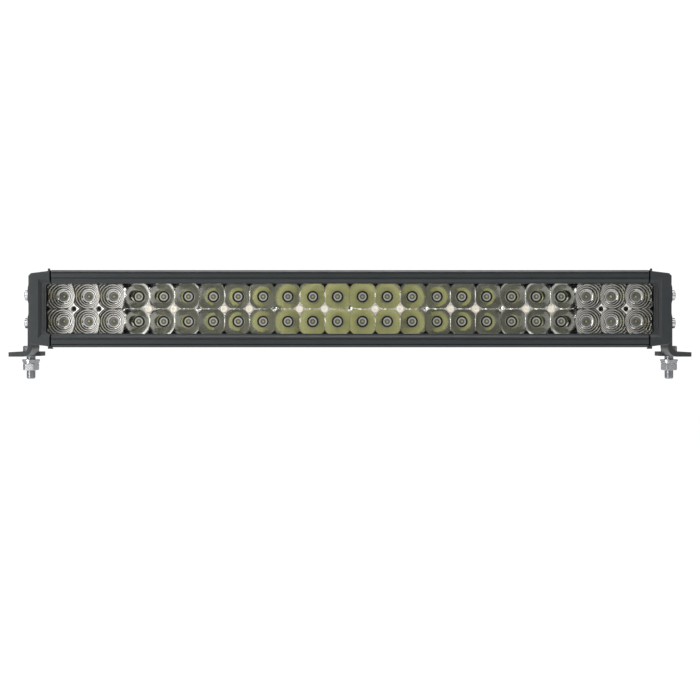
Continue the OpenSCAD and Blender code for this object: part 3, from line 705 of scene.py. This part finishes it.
def add_leds():
    """Base, dark substrate, dome and phosphor of each LED."""
    add_led_bases()
    plate = [(0, 0), (SUBSTRATE_R, 0), (SUBSTRATE_R, SUBSTRATE_T), (0, SUBSTRATE_T)]
    mesh = lathes_at("led_substrates", plate, 40, led_places(BASE_FRONT))
    piece_from(mesh, "led_substrates", SUBSTRATE, "lamp", "led_base")
    dome = [(0, -LENS_R)] + arc(0, 0, LENS_R, -90, 0, 16)[1:]
    dome += [(LENS_R, DOME_BOND), (0, DOME_BOND)]
    mesh = lathes_at("led_lenses", dome, 40, led_places(BASE_FRONT), 60)
    piece_from(mesh, "led_lenses", DOME, "lamp", "led_dome", "led_domes")
    cap = [(0, -PHOSPHOR_R)] + arc(0, 0, PHOSPHOR_R, -90, 0, 10)[1:]
    cap.append((0, 0))
    mesh = lathes_at("led_phosphors", cap, 24, led_places(BASE_FRONT - PHOSPHOR_LIFT), 60)
    piece_from(mesh, "led_phosphors", PHOSPHOR, "lamp", "led_phosphor", "led_dies")


# ---- Metalwork and fasteners ----


def add_metalwork():
    """Bevelled copies of the CAD pieces that show."""
    edge = 0.25 * MM
    for node in ("housing", "upper_bezel", "lower_bezel"):
        softened(node, PAINT, "lamp", "housing_paint", edge)
    for node in ("left_end_cap", "right_end_cap"):
        softened(node, PAINT, "lamp", "housing_paint", 0.2 * MM, front_chamfer=0.95 * MM)
    for node in ("left_bracket", "right_bracket"):
        softened(node, BRACKET_PAINT, "brackets", "bracket_paint", 0.35 * MM)
    for node in ("screw_flat_washers", "screw_spring_washers", "lock_spacers"):
        softened(node, ZINC, "lamp", "zinc", 0.1 * MM)
    for node in ("pivot_screws", "lock_screws"):
        softened(node, ZINC, "lamp", "zinc", 0.1 * MM)
    for node in ("foot_flat_washers", "foot_spring_washers", "foot_nuts"):
        softened(node, ZINC, "brackets", "zinc", 0.12 * MM)
    for node in ("left_cap_screws", "right_cap_screws"):
        softened(node, ZINC, "lamp", "cap_screw", 0.1 * MM)
    for node in ("gland_body", "gland_cap", "breather_vent", "pivot_bushes"):
        softened(node, NYLON, "lamp", "black_plastic", 0.15 * MM)
    softened("foot_bolts", BOLT_STEEL, "brackets", "bolt_steel", 0.12 * MM)


def paint_plain_nodes():
    """Materials of the CAD nodes that stay as they are."""
    finishes = {
        "lens": LENS,
        "lens_seal": RUBBER,
        "left_cap_gasket": RUBBER,
        "right_cap_gasket": RUBBER,
        "gland_seal": RUBBER,
        "left_lens_bead": RUBBER,
        "right_lens_bead": RUBBER,
        "left_led_board": SOLDER_MASK,
        "right_led_board": SOLDER_MASK,
        "thermal_pads": PAD,
        "flood_reflector_screws": BLACK_SCREW,
        "driver_board": GREEN_BOARD,
        "driver_inductors": FERRITE,
        "driver_capacitors": CAPACITOR,
        "driver_chips": NYLON,
    }
    for node, material in finishes.items():
        NODES[node].data.materials.clear()
        NODES[node].data.materials.append(material)


# ---- Studio ----


def add_floor():
    """A plain pale floor well below the lamp, bright enough to light it from below."""
    bm = bmesh.new()
    bmesh.ops.create_grid(bm, x_segments=1, y_segments=1, size=4.0)
    mesh = bpy.data.meshes.new("floor")
    bm.to_mesh(mesh)
    bm.free()
    floor = bpy.data.objects.new("floor", mesh)
    bpy.context.scene.collection.objects.link(floor)
    floor.location = (0, 0, -0.34)
    s = Shader("pale_floor")
    s.set(Base_Color=s.blend(s.noise(3, 4.0), (0.30, 0.30, 0.30), (0.33, 0.33, 0.33)), Roughness=0.9)
    s.set(Emission_Color=(1, 1, 1, 1), Emission_Strength=0.82)
    mesh.materials.append(s.material)


def add_softbox(name, place, aim, width, height, radiance):
    """A rectangular light at place that faces aim and looks as bright as radiance, where white is 1."""
    data = bpy.data.lights.new(name, "AREA")
    data.shape = "RECTANGLE"
    data.size = width
    data.size_y = height
    data.energy = radiance * width * height * math.pi
    light = bpy.data.objects.new(name, data)
    bpy.context.scene.collection.objects.link(light)
    light.location = place
    light.rotation_euler = (Vector(aim) - Vector(place)).to_track_quat("-Z", "Y").to_euler()
    light.visible_camera = False


def add_lights():
    """Soft lights: a broad one overhead, one high in front on each side, a tall one at the left front."""
    middle = Vector(lamp_point(0, 0.03, 0))
    add_softbox("overhead", (0, -0.10, 1.35), middle, 1.14, 1.0, 4.8)
    add_softbox("upper_left", (-0.85, -1.25, 0.85), middle, 0.45, 0.45, 6.2)
    add_softbox("tall_left", (-1.0, -1.15, 0.1), middle, 0.30, 0.9, 7.0)
    add_softbox("upper_right", (0.95, -1.20, 0.75), middle, 0.45, 0.5, 4.8)


def add_world():
    """White behind the object, a bright room for matt surfaces, and a dimmer studio for gloss to mirror.

    The studio is darkest straight in front of the lamp and a little brighter to the left than to the right.
    """
    world = bpy.data.worlds.new("studio")
    bpy.context.scene.world = world
    world.use_nodes = True
    tree = world.node_tree

    def background(strength):
        """A background shader of this strength."""
        made = tree.nodes.new("ShaderNodeBackground")
        made.inputs["Strength"].default_value = strength
        return made

    def ramp(value, low, high, start, end):
        """value from start to end becomes a number from low to high, eased at both ends."""
        made = tree.nodes.new("ShaderNodeMapRange")
        made.interpolation_type = "SMOOTHSTEP"
        tree.links.new(value, made.inputs["Value"])
        for name, number in (("From Min", start), ("From Max", end), ("To Min", low), ("To Max", high)):
            made.inputs[name].default_value = number
        return made.outputs["Result"]

    backdrop, room, studio = background(1.05), background(0.56), background(1.0)
    backdrop.inputs["Color"].default_value = (1, 1, 1, 1)
    room.inputs["Color"].default_value = (0.97, 0.98, 1.0, 1)
    towards = tree.nodes.new("ShaderNodeTexCoord").outputs["Generated"]
    axes = tree.nodes.new("ShaderNodeSeparateXYZ")
    tree.links.new(towards, axes.inputs["Vector"])
    front = ramp(axes.outputs["Y"], 0.12, 1.0, -0.985, -0.90)
    side = ramp(axes.outputs["X"], 0.33, 0.30, -0.6, 0.6)
    level = tree.nodes.new("ShaderNodeMath")
    level.operation = "MULTIPLY"
    tree.links.new(front, level.inputs[0])
    tree.links.new(side, level.inputs[1])
    tree.links.new(level.outputs["Value"], studio.inputs["Strength"])
    path = tree.nodes.new("ShaderNodeLightPath")
    by_gloss = tree.nodes.new("ShaderNodeMixShader")
    tree.links.new(path.outputs["Is Glossy Ray"], by_gloss.inputs[0])
    tree.links.new(room.outputs["Background"], by_gloss.inputs[1])
    tree.links.new(studio.outputs["Background"], by_gloss.inputs[2])
    by_camera = tree.nodes.new("ShaderNodeMixShader")
    tree.links.new(path.outputs["Is Camera Ray"], by_camera.inputs[0])
    tree.links.new(by_gloss.outputs["Shader"], by_camera.inputs[1])
    tree.links.new(backdrop.outputs["Background"], by_camera.inputs[2])
    tree.links.new(by_camera.outputs["Shader"], tree.nodes["World Output"].inputs["Surface"])


def add_camera():
    """Straight in front of the lamp and level, a little lower than its middle, its frame shifted down."""
    distance = 1.05
    below = 0.0203
    data = bpy.data.cameras.new("camera")
    data.sensor_width = 36
    data.lens = 61.65
    data.shift_y = -0.0260
    camera = bpy.data.objects.new("camera", data)
    bpy.context.scene.collection.objects.link(camera)
    camera.location = lamp_point(0, -distance, -below)
    camera.rotation_euler = (math.radians(90), 0, 0)
    bpy.context.scene.camera = camera


add_camera()
add_world()
add_lights()
add_floor()
add_metalwork()
add_reflectors()
add_reflector_screws()
add_leds()
paint_plain_nodes()
bpy.context.scene.view_settings.view_transform = "Standard"

bpy.context.view_layer.update()
